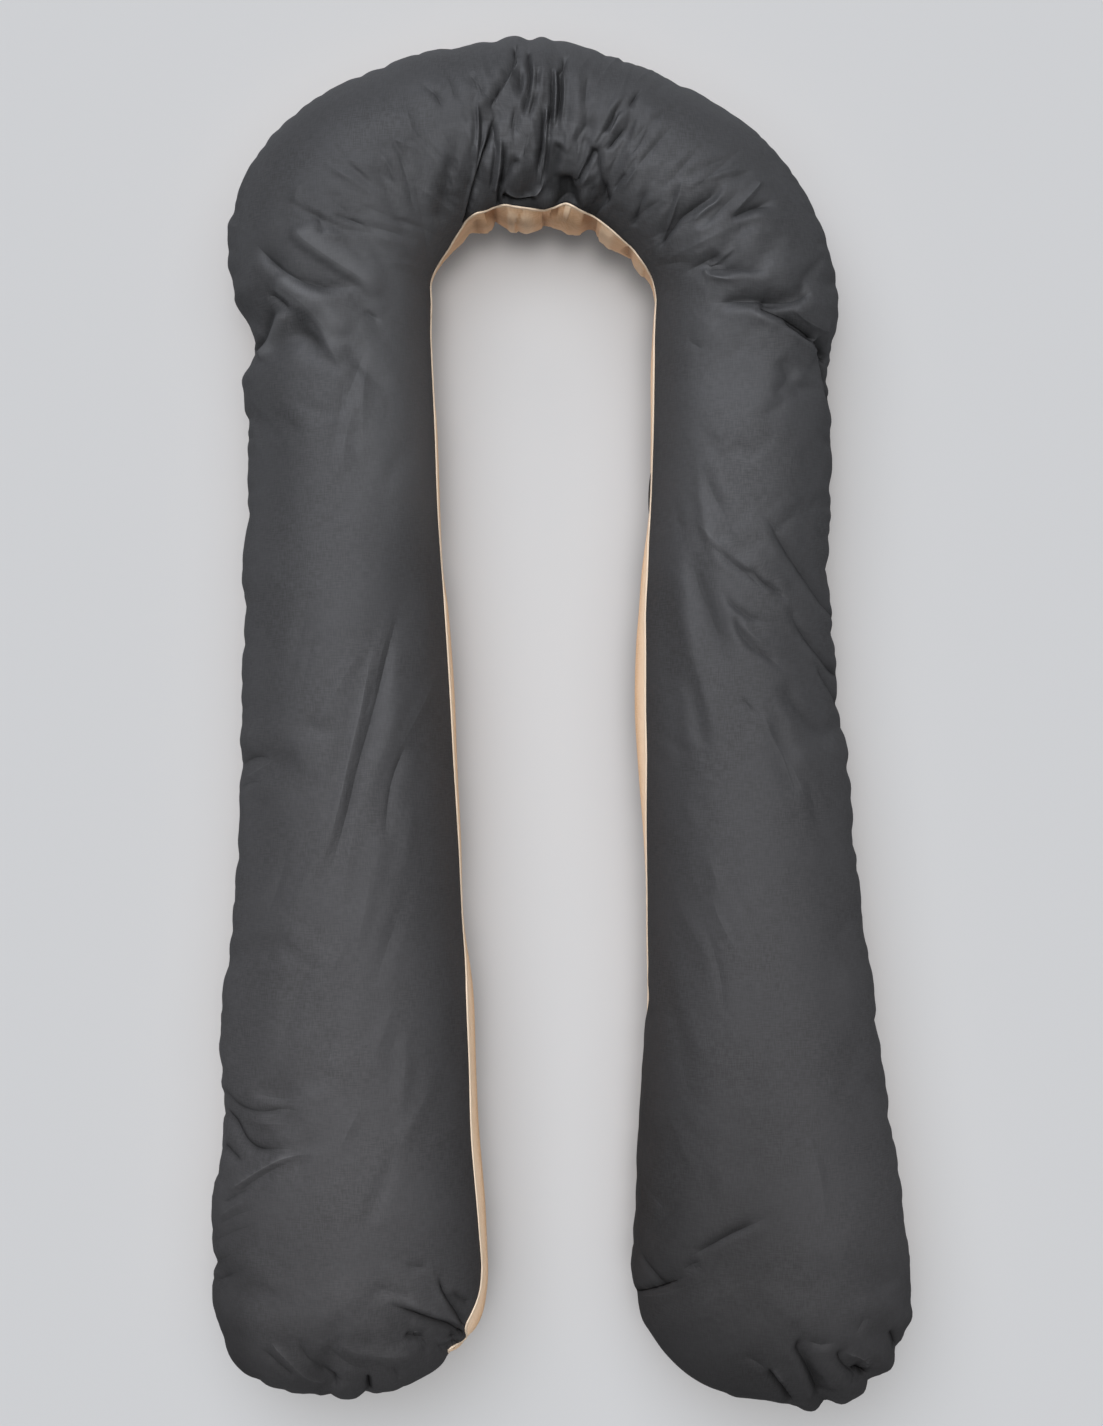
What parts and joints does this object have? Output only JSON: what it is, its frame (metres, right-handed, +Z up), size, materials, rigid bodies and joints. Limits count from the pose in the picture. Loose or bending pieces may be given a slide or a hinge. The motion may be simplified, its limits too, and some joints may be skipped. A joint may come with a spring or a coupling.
{
  "type": "u-shaped body pillow",
  "caption": "Filled U-shaped body pillow with a charcoal face and a tan back, gathered round its bend, lying flat with its legs apart.",
  "frame": {"origin": "on the surface that the pillow lies on, under the middle of its outline", "axes": "+Y along the legs, towards the bend; +X towards the right leg, seen from above with the bend at the top; +Z up, out of the charcoal face"},
  "size_m": [0.6979, 1.3666, 0.178],
  "materials": {
    "charcoal_cotton": "smooth charcoal cotton sateen with a soft sheen",
    "tan_cotton": "matte tan plain-weave cotton"
  },
  "bodies": {
    "root": {"face_panel": "charcoal_cotton", "back_panel": "tan_cotton"}
  },
  "joints": []
}
